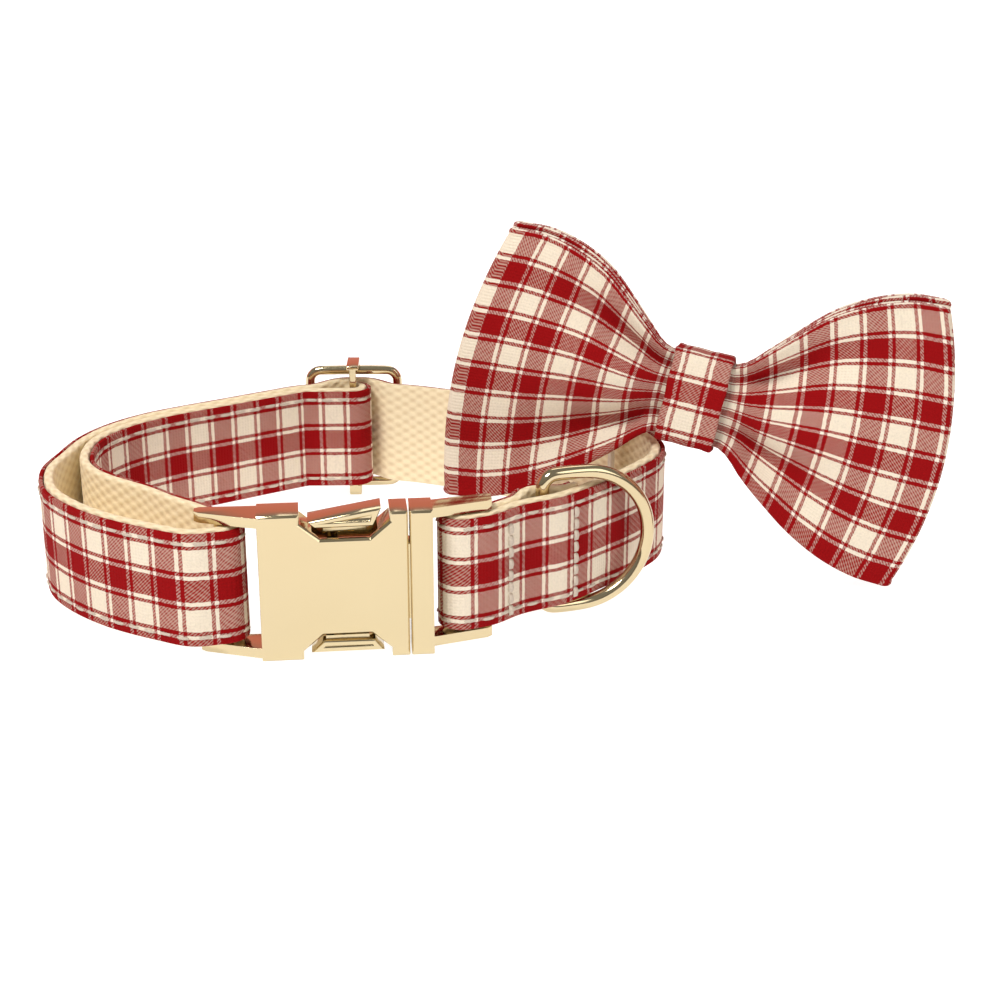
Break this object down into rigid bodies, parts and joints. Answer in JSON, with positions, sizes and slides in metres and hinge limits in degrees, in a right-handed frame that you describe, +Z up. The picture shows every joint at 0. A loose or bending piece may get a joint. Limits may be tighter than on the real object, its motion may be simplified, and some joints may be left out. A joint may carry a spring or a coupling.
{
  "type": "pet bow tie collar",
  "caption": "Plaid pet collar band with cream webbing, a metal side release buckle, a D-ring, a strap slider and a pleated bow tie on an elastic loop.",
  "frame": {"origin": "on the surface it rests on, under the middle of the whole outline", "axes": "+X from the buckle's female end towards the bow's free wing, -Y towards the buckle's face, +Z up"},
  "size_m": [0.198, 0.1056, 0.0759],
  "materials": {
    "cream_webbing": "matt woven",
    "plaid_cloth": "matt woven",
    "gold_metal": "polished",
    "elastic": "matt woven"
  },
  "bodies": {
    "collar": {"webbing": "cream_webbing", "plaid_cover": "plaid_cloth", "buckle_female": "gold_metal", "buckle_male": "gold_metal", "slider_frame": "gold_metal", "slider_bar": "gold_metal", "bow_front_loop": "plaid_cloth", "bow_back_loop": "plaid_cloth", "bow_knot": "plaid_cloth", "elastic_loop": "elastic"},
    "d_ring": {"d_ring": "gold_metal"},
    "release_tab_top": {"release_tab_top": "gold_metal"},
    "release_tab_bottom": {"release_tab_bottom": "gold_metal"}
  },
  "joints": [
    {"name": "d_ring_swing", "type": "hinge", "parent": "collar", "child": "d_ring", "pos_m": [0.00911, -0.02874, 0.01675], "axis": [0, 0, 1], "range_deg": [-120, 0]},
    {"name": "tab_top_press", "type": "hinge", "parent": "collar", "child": "release_tab_top", "pos_m": [-0.03323, -0.04637, 0.02435], "axis": [-0.1045, 0.9945, 0], "range_deg": [0, 5], "stiffness_Nm_per_rad": 0.05},
    {"name": "tab_bottom_press", "type": "hinge", "parent": "collar", "child": "release_tab_bottom", "pos_m": [-0.03323, -0.04637, 0.00725], "axis": [0.1045, -0.9945, 0], "range_deg": [0, 5], "stiffness_Nm_per_rad": 0.05}
  ]
}
